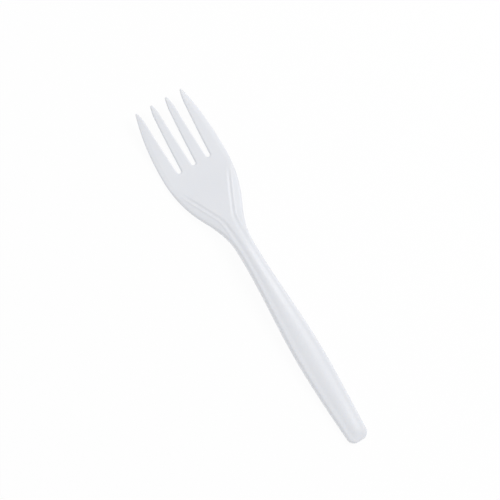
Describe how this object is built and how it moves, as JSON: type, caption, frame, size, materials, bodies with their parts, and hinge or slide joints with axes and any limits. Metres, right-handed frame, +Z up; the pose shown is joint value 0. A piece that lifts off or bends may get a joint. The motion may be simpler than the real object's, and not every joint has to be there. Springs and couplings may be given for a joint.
{
  "type": "disposable plastic fork",
  "caption": "White moulded plastic fork with pointed tines, a shallow head marked by a V crease, a narrow neck and a channel-backed handle.",
  "frame": {"origin": "middle of the fork's length and width, on the surface that it lies on", "axes": "+Y from the handle's end to the points of the tines, +X across the fork, +Z up out of its eating side"},
  "size_m": [0.0276, 0.152, 0.0068],
  "materials": {
    "white_plastic": "white moulded plastic with a soft satin gloss"
  },
  "bodies": {
    "root": {"fork": "white_plastic"}
  },
  "joints": []
}
